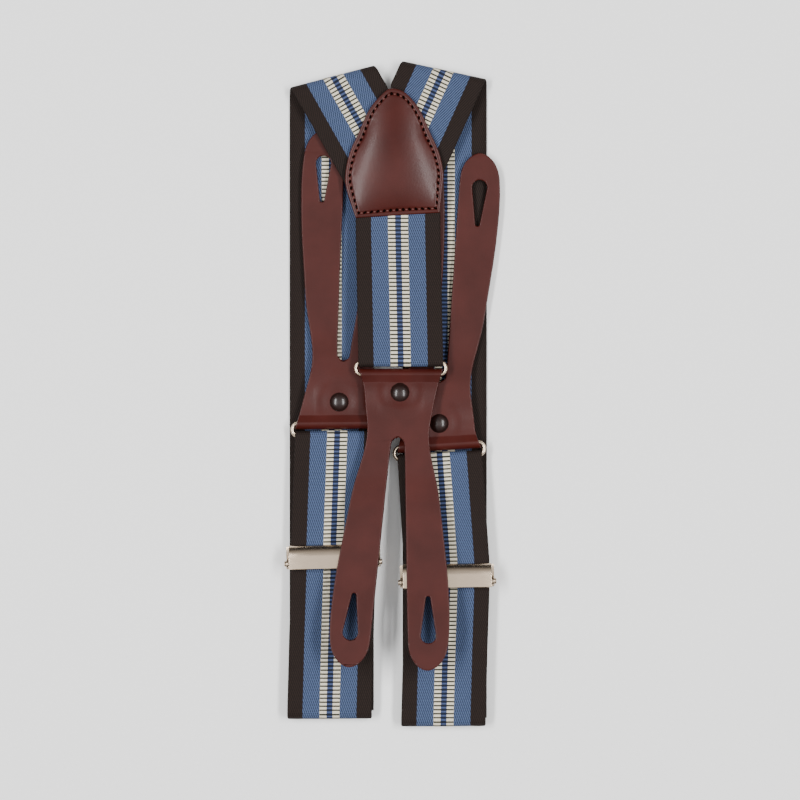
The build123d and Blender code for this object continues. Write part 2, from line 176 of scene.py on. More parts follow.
class MetalSettings(bpy.types.PropertyGroup):
    """Colours and edges of the metal"""

    nickel: colour_setting("Nickel colour", "sRGB hex of the satin nickel", "#c0ad98")
    rivet: colour_setting("Rivet colour", "sRGB hex of the lacquered rivet caps", "#1c0d0a")
    edge: length_setting("Edge rounding", "Radius of the rounded edges of the pressed sheet", 0.14 * MM)


class StageSettings(bpy.types.PropertyGroup):
    """Camera and light"""

    lens: bpy.props.FloatProperty(
        name="Lens", description="Focal length of the camera in millimetres", default=120.0
    )
    view_width: length_setting("View width", "Width of the floor that the camera sees", 0.3312)
    light: bpy.props.FloatProperty(
        name="Light", description="Strength of the soft boxes", default=1.0, subtype="FACTOR"
    )


# ---------------------------------------------------------------- helpers


def linear(hex_colour):
    """An sRGB hex colour as linear RGBA."""
    channels = [int(hex_colour[i : i + 2], 16) / 255 for i in (1, 3, 5)]
    return [c / 12.92 if c <= 0.04045 else ((c + 0.055) / 1.055) ** 2.4 for c in channels] + [1.0]


def scaled(hex_colour, factor):
    """A hex colour made lighter or darker in linear light."""
    return [min(1.0, c * factor) for c in linear(hex_colour)[:3]] + [1.0]


def connect(material, node, inputs):
    """Set a node's inputs. A value goes on the socket; a socket, or a node's first output, is linked."""
    for key, value in inputs.items():
        if isinstance(value, bpy.types.Node):
            value = value.outputs[0]
        if isinstance(value, bpy.types.NodeSocket):
            material.node_tree.links.new(value, node.inputs[key])
        else:
            node.inputs[key].default_value = value


def add_node(material, kind, inputs=None, stops=(), **settings):
    """Add one node with its settings, its inputs and, on a colour ramp, its (position, colour) stops."""
    node = material.node_tree.nodes.new(kind)
    for key, value in settings.items():
        setattr(node, key, value)
    while stops and len(node.color_ramp.elements) < len(stops):
        node.color_ramp.elements.new(0.5)
    for element, (position, colour) in zip(node.color_ramp.elements if stops else (), stops):
        element.position = position
        element.color = colour
    connect(material, node, inputs or {})
    return node


def new_material(name):
    """A material with only its shader and output, and the shader itself."""
    material = bpy.data.materials.new(name)
    material.use_nodes = True
    return material, material.node_tree.nodes["Principled BSDF"]


def deselect():
    """Select nothing, because the frame's own nodes start out selected."""
    for obj in bpy.context.selected_objects:
        obj.select_set(False)


def make_active(obj):
    """Select only this object and work on it."""
    deselect()
    obj.select_set(True)
    bpy.context.view_layer.objects.active = obj


def apply_modifiers(obj):
    """Bake every modifier into the mesh, in order."""
    make_active(obj)
    for modifier in list(obj.modifiers):
        bpy.ops.object.modifier_apply(modifier=modifier.name)


def add_bevel(obj, width, segments, degrees):
    """Round the edges that are sharper than an angle."""
    bevel = obj.modifiers.new("rounded_edge", "BEVEL")
    bevel.width = width
    bevel.segments = segments
    bevel.limit_method = "ANGLE"
    bevel.angle_limit = math.radians(degrees)
    return bevel


def smooth_by_angle(obj, degrees=35):
    """Shade smooth, apart from edges sharper than an angle."""
    make_active(obj)
    bpy.ops.object.shade_smooth_by_angle(angle=math.radians(degrees))


def face_outwards(obj):
    """Turn every face of a closed mesh outwards."""
    make_active(obj)
    bpy.ops.object.mode_set(mode="EDIT")
    bpy.ops.mesh.select_all(action="SELECT")
    bpy.ops.mesh.normals_make_consistent(inside=False)
    bpy.ops.object.mode_set(mode="OBJECT")


def mesh_piece(name, points, faces, uvs=None):
    """A piece from its points and faces, with a UV for each point in metres where it has them."""
    mesh = bpy.data.meshes.new(name)
    mesh.from_pydata([tuple(p) for p in points], [], faces)
    mesh.update()
    if uvs is not None:
        layer = mesh.uv_layers.new(name="weave")
        index = np.zeros(len(mesh.loops), dtype=np.int64)
        mesh.loops.foreach_get("vertex_index", index)
        layer.data.foreach_set("uv", np.asarray(uvs)[index].astype(np.float32).ravel())
    obj = bpy.data.objects.new(name, mesh)
    bpy.context.scene.collection.objects.link(obj)
    return obj


def cad_copy(node, name):
    """A merged copy of a frame node's mesh, to be finished as a new piece."""
    obj = bpy.data.objects.new(name, frame["nodes"][node].data.copy())
    bpy.context.scene.collection.objects.link(obj)
    obj.data.materials.clear()
    work = bmesh.new()
    work.from_mesh(obj.data)
    bmesh.ops.remove_doubles(work, verts=work.verts, dist=MERGE_DISTANCE)
    bmesh.ops.dissolve_limit(work, angle_limit=math.radians(1.0), verts=work.verts, edges=work.edges)
    work.to_mesh(obj.data)
    work.free()
    return obj


# ---------------------------------------------------------------- materials


def woven_elastic(settings):
    """Woven elastic: matt yarn in stripes, with raised cream bars and fine twill in the blue and dark ones,
    painted lighter on the raised yarn and darker in its gaps as painted light and shade.

    Across is the distance from the middle of the webbing, along is the distance on it.
    """
    material, shader = new_material("woven_elastic")
    uv = add_node(material, "ShaderNodeUVMap", uv_map="weave")
    parts = add_node(material, "ShaderNodeSeparateXYZ", {0: uv})
    side, along = parts.outputs[0], parts.outputs[1]
    across = add_node(material, "ShaderNodeMath", {0: side}, operation="ABSOLUTE")
    share = add_node(material, "ShaderNodeMath", {0: across, 1: WEB_WIDTH / 2}, operation="DIVIDE")
    edges = [0.0] + [edge / (WEB_WIDTH / 2) for edge in (NAVY_EDGE, CREAM_EDGE, BLUE_EDGE)]
    # Painted light and shade: the yarn on top of the weave is a lit copy of its dye, lighter than the dyed
    # colour, and the gaps are painted shade, far darker copies of the dye; in the cream stripe the gap is a
    # dark colour of its own.
    dyes = (settings.navy, settings.cream, settings.blue, settings.dark)
    top = [scaled(dye, factor) for dye, factor in zip(dyes, (2.4, 0.95, 1.5, 1.5))]
    gap = [
        scaled(settings.navy, 0.4),
        linear("#2f2e26"),
        scaled(settings.blue, 0.12),
        scaled(settings.dark, 0.35),
    ]
    # Two ramps of stripe colours: the lit copies for the raised yarn and the painted shade for the gaps.
    raised, painted_shade_stripes = (
        add_node(material, "ShaderNodeValToRGB", {0: share}, list(zip(edges, shades)))
        for shades in (top, gap)
    )
    for stripes in (raised, painted_shade_stripes):
        stripes.color_ramp.interpolation = "CONSTANT"
    # Bars: one full wave every bar pitch, sharpened to a bar and a narrower gap.
    turn = add_node(material, "ShaderNodeMath", {0: along, 1: 2 * math.pi / BAR_PITCH}, operation="MULTIPLY")
    wave = add_node(material, "ShaderNodeMath", {0: turn}, operation="COSINE")
    bars, dashes = (
        add_node(material, "ShaderNodeMapRange", {0: wave, 1: low, 2: high}, interpolation_type="SMOOTHSTEP")
        for low, high in ((-0.62, -0.05), (-0.1, 0.5))
    )
    middle = add_node(material, "ShaderNodeMath", {0: across, 1: NAVY_EDGE}, operation="LESS_THAN")
    inner = add_node(material, "ShaderNodeMix", {0: middle, 2: bars, 3: dashes}, data_type="FLOAT")
    # Twill: steep diagonal ribs, broken along the webbing by the weft.
    climb = add_node(material, "ShaderNodeMath", {0: along, 1: 2 * math.pi / RIB_CLIMB}, operation="MULTIPLY")
    slope = add_node(
        material, "ShaderNodeMath", {0: side, 1: 2 * math.pi / RIB_PITCH, 2: climb}, operation="MULTIPLY_ADD"
    )
    rib = add_node(material, "ShaderNodeMath", {0: slope}, operation="SINE")
    pick = add_node(material, "ShaderNodeMath", {0: along, 1: 2 * math.pi / WEFT_PITCH}, operation="MULTIPLY")
    weft = add_node(material, "ShaderNodeMath", {0: pick}, operation="SINE")
    mixed = add_node(material, "ShaderNodeMath", {0: weft, 1: 0.55, 2: rib}, operation="MULTIPLY_ADD")
    twill = add_node(
        material, "ShaderNodeMapRange", {0: mixed, 1: -1.15, 2: 0.3}, interpolation_type="SMOOTHSTEP"
    )
    outer = add_node(material, "ShaderNodeMath", {0: across, 1: CREAM_EDGE}, operation="GREATER_THAN")
    pattern = add_node(material, "ShaderNodeMix", {0: outer, 2: inner, 3: twill}, data_type="FLOAT")
    # Painted light on the high parts of the pattern, painted shade on the low ones.
    mix = add_node(material, "ShaderNodeMix", {0: pattern, 6: painted_shade_stripes, 7: raised}, data_type="RGBA")
    # Yarn variation: threads a little lighter or darker than their neighbours, longer than they are wide.
    stretch = add_node(material, "ShaderNodeMapping", {0: uv, 3: (1.0, 0.25, 1.0)})
    yarn = add_node(
        material, "ShaderNodeTexNoise", {"Vector": stretch, "Scale": 1 / YARN_PITCH, "Detail": 2.0}
    )
    vary = add_node(material, "ShaderNodeMapRange", {0: yarn, 1: 0.25, 2: 0.75, 3: 0.82, 4: 1.15})
    final = add_node(
        material, "ShaderNodeVectorMath", {0: mix.outputs[2], "Scale": vary}, operation="SCALE"
    )
    height = add_node(material, "ShaderNodeMath", {0: yarn, 1: 0.35, 2: pattern}, operation="MULTIPLY_ADD")
    bump = add_node(
        material, "ShaderNodeBump", {"Height": height, "Strength": 0.55, "Distance": 0.12 * MM}
    )
    look = {"Base Color": final, "Roughness": 0.78, "Specular IOR Level": 0.15, "Normal": bump}
    connect(material, shader, look)
    return material


def oxblood_leather(settings, name="oxblood_leather", pitch=None, inset=0.0):
    """Corrected-grain cowhide, dyed oxblood and glazed: even colour, a fine pebble and a soft gloss.

    With a stitch pitch it is the yoke's: needle holes run along the seam, painted near black as shade in the
    holes.
    """
    material, shader = new_material(name)
    place = add_node(material, "ShaderNodeTexCoord").outputs["Object"]
    cloud = add_node(
        material, "ShaderNodeTexNoise", {"Vector": place, "Scale": 1 / CLOUD_SIZE, "Detail": 3.0}
    )
    shades = [(0.1, scaled(settings.colour, 0.7)), (0.9, scaled(settings.colour, 1.3))]
    tone = add_node(material, "ShaderNodeValToRGB", {"Fac": cloud}, shades)
    # Pebble and pores are drawn twice as coarse as they are, so that they show.
    pebble = add_node(material, "ShaderNodeTexVoronoi", {"Vector": place, "Scale": 1 / PEBBLE_SIZE})
    pores = add_node(material, "ShaderNodeTexNoise", {"Vector": place, "Scale": 1 / PORE_SIZE, "Detail": 2.0})
    height = add_node(material, "ShaderNodeMath", {0: pebble, 1: 0.6, 2: pores}, operation="MULTIPLY_ADD")
    bump = add_node(material, "ShaderNodeBump", {"Height": height, "Strength": 0.3, "Distance": 0.08 * MM})
    gloss = add_node(material, "ShaderNodeMapRange", {0: cloud, 1: 0.1, 2: 0.9, 3: 0.32, 4: 0.42})
    look = {"Base Color": tone, "Roughness": gloss, "Normal": bump, "Coat Roughness": 0.15}
    look |= {"Specular IOR Level": LEATHER_SPECULAR, "Coat Weight": LEATHER_COAT}
    if pitch:
        uv = add_node(material, "ShaderNodeUVMap", uv_map="weave")
        parts = add_node(material, "ShaderNodeSeparateXYZ", {0: uv})
        along, depth = parts.outputs[0], parts.outputs[1]
        # Distance to the nearest hole: along the seam it repeats every pitch, across it is from the seam.
        turn = add_node(material, "ShaderNodeMath", {0: along, 1: math.pi / pitch}, operation="MULTIPLY")
        swing = add_node(material, "ShaderNodeMath", {0: turn}, operation="SINE")
        beside = add_node(material, "ShaderNodeMath", {0: swing, 1: pitch / math.pi}, operation="MULTIPLY")
        off_line = add_node(material, "ShaderNodeMath", {0: depth, 1: inset}, operation="SUBTRACT")
        square = add_node(material, "ShaderNodeMath", {0: off_line, 1: off_line}, operation="MULTIPLY")
        total = add_node(
            material, "ShaderNodeMath", {0: beside, 1: beside, 2: square}, operation="MULTIPLY_ADD"
        )
        far = add_node(material, "ShaderNodeMath", {0: total}, operation="SQRT")
        hole = add_node(
            material,
            "ShaderNodeMapRange",
            {0: far, 1: NEEDLE_HOLE, 2: NEEDLE_HOLE + 0.2 * MM},
            interpolation_type="SMOOTHSTEP",
        )
        # Inside each needle hole the colour goes near black: painted shade in the hole.
        mix = add_node(material, "ShaderNodeMix", {0: hole, 6: linear("#0c0504"), 7: tone}, data_type="RGBA")
        pricked = {"Height": hole, "Strength": 0.9, "Distance": 0.3 * MM, "Normal": bump}
        # The needle holes are deep, so they give back no shine.
        specular, coat = (
            add_node(material, "ShaderNodeMath", {0: hole, 1: level}, operation="MULTIPLY")
            for level in (LEATHER_SPECULAR, LEATHER_COAT)
        )
        look |= {"Base Color": mix.outputs[2], "Normal": add_node(material, "ShaderNodeBump", pricked)}
        look |= {"Specular IOR Level": specular, "Coat Weight": coat}
    connect(material, shader, look)
    return material


def fine_grained(name, size, detail, shades, stretch, bump, look):
    """A material whose colour and bump follow one fine noise. Returns it, its shader and its noise."""
    material, shader = new_material(name)
    place = add_node(material, "ShaderNodeTexCoord").outputs["Object"]
    if stretch:
        place = add_node(material, "ShaderNodeMapping", {0: place, 3: stretch})
    grain = add_node(material, "ShaderNodeTexNoise", {"Vector": place, "Scale": 1 / size, "Detail": detail})
    tone = add_node(material, "ShaderNodeValToRGB", {"Fac": grain}, [(0.3, shades[0]), (0.7, shades[1])])
    strength, distance = bump
    relief = {"Height": grain, "Strength": strength, "Distance": distance}
    normal = add_node(material, "ShaderNodeBump", relief)
    connect(material, shader, {"Base Color": tone, "Normal": normal, **look})
    return material, shader, grain


def split_lining():
    """Split leather lining: matt, fibrous and a little paler than the face."""
    shades = (linear("#4a2c20"), linear("#6d4533"))
    look = {"Roughness": 0.9}
    return fine_grained("split_lining", 0.5 * MM, 5.0, shades, None, (0.4, 0.1 * MM), look)[0]


def waxed_thread():
    """Waxed polyester thread: reddish brown, two plies, a dull shine."""
    shades = (linear("#3a1711"), linear("#5f2c24"))
    look = {"Roughness": 0.55}
    return fine_grained("waxed_thread", 0.25 * MM, 2.0, shades, None, (0.5, 0.05 * MM), look)[0]


def satin_nickel(settings):
    """Nickel-plated steel, tumbled to a satin: warm grey, with a soft broken reflection.

    Its tumbling marks are drawn 0.4 mm apart, coarser than they are, so that they show.
    """
    shades = (scaled(settings.nickel, 0.94), linear(settings.nickel))
    material, shader, marks = fine_grained(
        "satin_nickel", 0.4 * MM, 2.0, shades, (0.12, 1.0, 1.0), (0.03, 0.01 * MM), {"Metallic": 1.0}
    )
    rough = add_node(material, "ShaderNodeMapRange", {0: marks, 1: 0.3, 2: 0.7, 3: 0.2, 4: 0.26})
    connect(material, shader, {"Roughness": rough})
    return material


def rivet_lacquer(settings):
    """Stove lacquer over brass: near-black brown, glossy, with a slight orange peel."""
    shades = (scaled(settings.rivet, 0.8), scaled(settings.rivet, 1.3))
    look = {"Roughness": 0.3, "Specular IOR Level": 0.3, "Coat Weight": 0.25, "Coat Roughness": 0.12}
    return fine_grained("rivet_lacquer", 0.9 * MM, 2.0, shades, None, (0.08, 0.05 * MM), look)[0]


# ---------------------------------------------------------------- webbing


def stripe_relief(across, along, rise):
    """How far the weave stands proud: cream bars, and shallow grooves where stripes meet."""
    side = np.abs(across)
    bars = 0.5 + 0.5 * np.cos(2 * np.pi * along / BAR_PITCH)
    in_cream = (side > NAVY_EDGE) & (side < CREAM_EDGE)
    height = np.where(in_cream, rise * np.sqrt(bars), 0.0)
    height = height + np.where(side <= NAVY_EDGE, 0.35 * rise * (1 - bars), 0.0)
    for edge in (CREAM_EDGE, BLUE_EDGE):
        height = height - 0.05 * MM * np.exp(-(((side - edge) / (0.25 * MM)) ** 2))
    return height


def weave_columns():
    """Places across the face: close together over the bars and the selvedges."""
    half = WEB_WIDTH / 2
    right = [0.0, 0.6, 1.1, 1.35, 1.8, 2.7, 3.6, 4.0, 4.25, 5.2, 6.6]
    right += [8.2, 9.8, 10.8, 11.1, 11.4, 12.6, 14.4, 16.0]
    right = [x * MM for x in right] + [half - SELVEDGE, half - 0.25 * MM, half]
    return np.array([-x for x in reversed(right[1:])] + right)


def ribbon(name, reach, place, rise):
    """Webbing made as a closed strip of a given reach.

    place(across, along, out) puts its points, out being outwards from its middle.
    """
    half = WEB_WIDTH / 2
    face = weave_columns()
    back = face[-2:0:-3]
    along = np.linspace(0, reach, int(reach / (BAR_PITCH / 4)) + 2)
    section = np.concatenate([face, back])
    is_face = np.arange(len(section)) < len(face)
    over = np.clip((np.abs(section) - (half - SELVEDGE)) / SELVEDGE, 0, 1)
    shoulder = np.sqrt(np.clip(1 - over**2, 0, 1)) * (WEB_THICK / 2 - rise)
    across, run = np.meshgrid(section, along)
    out = np.where(is_face, 1, -1) * shoulder
    out = out[None, :] + np.where(is_face[None, :], stripe_relief(across, run, rise) * (over < 0.99), 0.0)
    points = place(across.ravel(), run.ravel(), out.ravel())
    uvs = np.stack([across.ravel(), run.ravel()], axis=1)
    wide, rows = len(section), len(along)
    faces = []
    for row in range(rows - 1):
        for column in range(wide):
            after = (column + 1) % wide
            near, far = row * wide, (row + 1) * wide
            faces.append((near + column, far + column, far + after, near + after))
    faces.append(tuple(range(wide)))
    faces.append(tuple(reversed(range((rows - 1) * wide, rows * wide))))
    obj = mesh_piece(name, points, faces, uvs)
    face_outwards(obj)
    smooth_by_angle(obj, 60)
    return obj


def wander(along, across, amount, phase):
    """A slow rise and fall, so that webbing doesn't lie dead flat."""
    return amount * np.sin(along / (19 * MM) + phase) * np.cos(across / (14 * MM) + 1.3 * phase)


def shoulder_strap(side, settings):
    """The back run, the slanted shoulder fold and the shoulder run down to the yoke, as one length."""
    low, high = (np.array(corner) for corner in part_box(f"{side}_back_run"))
    run_low, run_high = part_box(f"{side}_shoulder_run")
    middle = (low[0] + high[0]) / 2
    angle = math.radians(FOLD_ANGLE[side])
    fold_y = high[1] - abs(math.tan(angle)) * WEB_WIDTH / 2
    under = (low[2] + high[2]) / 2
    over = (run_low[2] + run_high[2]) / 2
    radius = (over - under) / 2
    direction = np.array([math.cos(angle), math.sin(angle)])
    outward = np.array([-math.sin(angle), math.cos(angle)])
    back_length = fold_y - low[1]
    run_length = (fold_y - run_low[1]) / math.cos(2 * angle) + 12 * MM
    phase = 0.4 if side == "left" else 2.1

    def place(across, along, out):
        flat = np.stack([across, along - back_length], axis=1)
        p = flat @ direction
        q = flat @ outward
        turn = np.clip(q / radius, 0, math.pi)
        past = np.clip(q - math.pi * radius, 0, None)
        before = np.clip(q, None, 0)
        forth = before + (radius + out) * np.sin(turn) - past
        base = np.array([middle, fold_y])
        plan = base + p[:, None] * direction + forth[:, None] * outward
        height = under + radius - (radius + out) * np.cos(turn)
        calm = np.clip(past / (25 * MM), 0, 1) * np.clip((60 * MM - past) / (25 * MM), 0, 1)
        height = height + wander(along, across, settings.waviness, phase) * calm
        return np.column_stack([plan, height])

    reach = back_length + math.pi * radius + run_length
    obj = ribbon(f"{side}_shoulder_strap", reach, place, settings.bar_rise)
    # Trim along the middle of the yoke, where the two straps meet under the leather.
    inward = 1 if FOLD_ANGLE[side] > 0 else -1
    make_active(obj)
    bpy.ops.object.mode_set(mode="EDIT")
    for point, normal in (
        ((-inward * 0.15 * MM, 0, 0), (inward, 0, 0)),
        ((0, run_low[1], 0), (0, -1, 0)),
    ):
        bpy.ops.mesh.select_all(action="DESELECT")
        bpy.ops.object.mode_set(mode="OBJECT")
        for vertex in obj.data.vertices:
            vertex.select = bool(vertex.co.z > under + radius)
        bpy.ops.object.mode_set(mode="EDIT")
        bpy.ops.mesh.select_mode(type="VERT")
        bpy.ops.mesh.bisect(plane_co=point, plane_no=normal, clear_outer=True, use_fill=True)
    bpy.ops.object.mode_set(mode="OBJECT")
    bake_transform(obj)
    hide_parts(f"{side}_back_run", f"{side}_top_fold", f"{side}_shoulder_run")
    return obj


def along_path(name, points, sides, settings, waver=0.0, phase=0.0):
    """Webbing that follows a path; out is on the side that the path turns away from."""
    points, sides = np.array(points), np.array(sides)
    distance = np.concatenate([[0], np.cumsum(np.linalg.norm(np.diff(points, axis=0), axis=1))])

    def value_at(values, along):
        """Values along the path at some distances."""
        return np.stack([np.interp(along, distance, values[:, i]) for i in range(3)], axis=1)

    def place(across, along, out):
        step = 0.2 * MM
        forward = value_at(points, along + step) - value_at(points, along - step)
        forward /= np.linalg.norm(forward, axis=1)[:, None]
        sideways = value_at(sides, along)
        sideways /= np.linalg.norm(sideways, axis=1)[:, None]
        normal = np.cross(sideways, forward)
        lift = out + wander(along, across, waver, phase)
        return value_at(points, along) + across[:, None] * sideways + lift[:, None] * normal

    return ribbon(name, distance[-1], place, settings.bar_rise)


def half_turn(centre, radius, start, stop, lean, steps=18):
    """Points round a wire or a fold: angles from below (-90) through the far side."""
    points = []
    for step in range(steps + 1):
        angle = math.radians(start + (stop - start) * step / steps)
        ahead = Vector((-lean[1], lean[0], 0))
        out = math.cos(angle) * ahead + math.sin(angle) * Vector((0, 0, 1))
        points.append(Vector(centre) + radius * out)
    return points


def front_strap(side, settings):
    """The bottom fold, the front run through the adjuster and the loop round the front ring."""
    run_low, run_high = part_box(f"{side}_front_run")
    hinge, lever = JOINTS[f"{side}_end_pivot"], JOINTS[f"{side}_lever_pivot"]
    lean, lever_lean = Vector(hinge["axis"]), Vector(lever["axis"])
    ahead = Vector((-lean[1], lean[0], 0))
    wire = Vector(hinge["pos_m"]) - 2 * WIRE_SPREAD * ahead
    z_low = WEB_THICK / 2
    z_high = (run_low[2] + run_high[2]) / 2
    radius = (z_high - z_low) / 2
    fold_centre = (BOTTOM_FOLD_X[side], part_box(f"{side}_back_run")[0][1], z_low + radius)
    right = Vector((1, 0, 0))
    # Under the fold the webbing comes from the back run, so the turn starts pointing down the strap.
    turn = half_turn(fold_centre, radius, -90, -270, right, 24)
    adjuster = Vector((lever["pos_m"][0], lever["pos_m"][1] + JAW_BEYOND_PIN, z_high))
    loop = half_turn(wire, RING_REACH + WEB_THICK / 2, 90, -90, lean, 20)
    straight = Vector((0, ADJUSTER_STRAIGHT, 0))
    start = adjuster + straight
    quarters = (0.25, 0.5, 0.75)
    points = turn + [turn[-1].lerp(adjuster, 0.5), adjuster - straight, adjuster, start]
    points += [start.lerp(loop[0], share) for share in quarters] + loop + [loop[-1] - LOOP_END * ahead]
    sides = [right] * len(turn) + [right.lerp(lever_lean, 0.5), lever_lean, lever_lean, lever_lean]
    sides += [lever_lean.lerp(lean, share) for share in quarters] + [lean] * (len(loop) + 1)
    obj = along_path(f"{side}_front_strap", points, sides, settings, 0.12 * MM, 0.8)
    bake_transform(obj)
    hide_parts(f"{side}_bottom_fold", f"{side}_front_run", f"{side}_ring_loop")
    return obj


def tail_strap(side, settings):
    """The tail, from under the ring's loop down into the adjuster's jaw."""
    low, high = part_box(f"{side}_tail")
    hinge = JOINTS[f"{side}_end_pivot"]
    lever = JOINTS[f"{side}_lever_pivot"]
    lean, lever_lean = Vector(hinge["axis"]), Vector(lever["axis"])
    ahead = Vector((-lean[1], lean[0], 0))
    z = (low[2] + high[2]) / 2
    wire = Vector(hinge["pos_m"]) - 2 * WIRE_SPREAD * ahead
    top = Vector((wire[0], wire[1], z)) - TAIL_TOP * ahead
    bottom = Vector((lever["pos_m"][0], low[1] + 0.6 * MM, z))
    shares = (0, 0.25, 0.5, 0.75, 1)
    points = [bottom.lerp(top, share) for share in shares]
    sides = [lever_lean.lerp(lean, share) * -1 for share in shares]
    obj = along_path(f"{side}_tail_strap", points, sides, settings)
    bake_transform(obj)
    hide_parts(f"{side}_tail")
    return obj


def back_strap(settings):
    """The doubled strap from the yoke round the rear ring and back up under itself."""
    low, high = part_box("back_strap")
    wire = Vector(JOINTS["rear_ring_pivot"]["pos_m"])
    top_x = wire[0] - BACK_STRAP_SHIFT
    bend_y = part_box("yoke_patch")[0][1] - 4 * MM
    under = low[2] + WEB_THICK / 2
    over = under + WEB_THICK + 0.1 * MM
    right = Vector((1, 0, 0))
    loop = half_turn(wire, RING_REACH + WEB_THICK / 2, 90, 270, right, 20)
    bend_over, bend_under = (Vector((top_x, bend_y, z)) for z in (over, under))
    points = [Vector((top_x, high[1], over)), bend_over, bend_over.lerp(loop[0], 0.5)] + loop
    points += [loop[-1].lerp(bend_under, 0.5), bend_under, Vector((top_x, high[1], under))]
    obj = along_path("back_strap_webbing", points, [-right] * len(points), settings, 0.0, 1.1)
    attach(obj, "flap")
    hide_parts("back_strap")
    return obj


class SUSPENDERS_OT_webbing(bpy.types.Operator):
    """Make every length of striped elastic"""

    bl_idname = "suspenders.webbing"
    bl_label = "Webbing"

    def execute(self, context):
        settings = context.scene.suspenders_webbing
        material = woven_elastic(settings)
        pieces = [back_strap(settings)]
        for side in SIDES:
            pieces += [make(side, settings) for make in (shoulder_strap, front_strap, tail_strap)]
        for piece in pieces:
            piece.data.materials.append(material)
        return {"FINISHED"}


# ---------------------------------------------------------------- yoke


def yoke_edge(count):
    """Evenly spaced points round the outline of the yoke's leather, from the frame's own box."""
    low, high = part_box("yoke_patch")
    bottom, height = low[1], high[1] - low[1]
    left = [(YOKE_MIDDLE - YOKE_HALF * x, bottom + height * y) for x, y in YOKE_FLANK]
    right = [(YOKE_MIDDLE + YOKE_HALF * x, bottom + height * y) for x, y in reversed(YOKE_FLANK)]
    start = (YOKE_MIDDLE - 0.78 * YOKE_HALF, bottom)
    stop = (YOKE_MIDDLE + 0.91 * YOKE_HALF, bottom + 2.2 * MM)
    sides = catmull([start] + left + [(YOKE_MIDDLE - 1.0 * MM, bottom + height)] + right + [stop], 24)
    across = np.array(start) - np.array(stop)
    hem = [tuple(np.array(stop) + across * t) for t in np.linspace(0, 1, 60)[1:-1]]
    dense = np.array(sides + hem + [sides[0]])
    steps = np.concatenate([[0], np.cumsum(np.linalg.norm(np.diff(dense, axis=0), axis=1))])
    at = np.linspace(0, steps[-1], count, endpoint=False)
    return np.stack([np.interp(at, steps, dense[:, i]) for i in (0, 1)], axis=1), at, steps[-1]


def catmull(points, steps):
    """A smooth line through the points, as a list of points."""
    padded = [points[0]] + list(points) + [points[-1]]
    line = []
    for a, b, c, d in zip(padded, padded[1:], padded[2:], padded[3:]):
        a, b, c, d = (np.array(p) for p in (a, b, c, d))
        for t in np.arange(steps) / steps:
            cubic = (3 * b - a - 3 * c + d) * t**3 + (2 * a - 5 * b + 4 * c - d) * t**2
            line.append(tuple(0.5 * (2 * b + (c - a) * t + cubic)))
    return line + [tuple(points[-1])]


def pillow(edge, inset):
    """The shape that a stuffed panel takes inside its seam: heights from 0 to 1 on a grid."""
    step = 0.5 * MM
    low = edge.min(axis=0) - 2 * step
    size = np.ceil((edge.max(axis=0) - low) / step).astype(int) + 3
    xs, ys = (low[i] + step * np.arange(size[i]) for i in (0, 1))
    grid_x, grid_y = np.meshgrid(xs, ys, indexing="ij")
    inside = np.zeros(grid_x.shape, bool)
    gap = np.full(grid_x.shape, np.inf)
    for (ax, ay), (bx, by) in zip(edge, np.roll(edge, -1, axis=0)):
        crosses = (ay > grid_y) != (by > grid_y)
        reach = ax + (grid_y - ay) * (bx - ax) / (by - ay if by != ay else 1e-12)
        inside ^= crosses & (grid_x < reach)
        gap = np.minimum(gap, np.hypot(grid_x - ax, grid_y - ay))
    inside &= gap > inset
    height = np.zeros(grid_x.shape)
    for _ in range(2500):
        around = sum(np.roll(height, shift, axis) for axis in (0, 1) for shift in (1, -1))
        height = np.where(inside, around / 4 + 1, 0)
    return low, step, height / height.max()


def sample(field, points):
    """Heights of a pillow at places on it."""
    low, step, height = field
    spot = (points - low) / step
    cell = np.clip(spot.astype(int), 0, np.array(height.shape) - 2)
    fx, fy = (spot - cell).T
    i, j = cell.T
    low_side = height[i, j] * (1 - fx) + height[i + 1, j] * fx
    high_side = height[i, j + 1] * (1 - fx) + height[i + 1, j + 1] * fx
    return low_side * (1 - fy) + high_side * fy


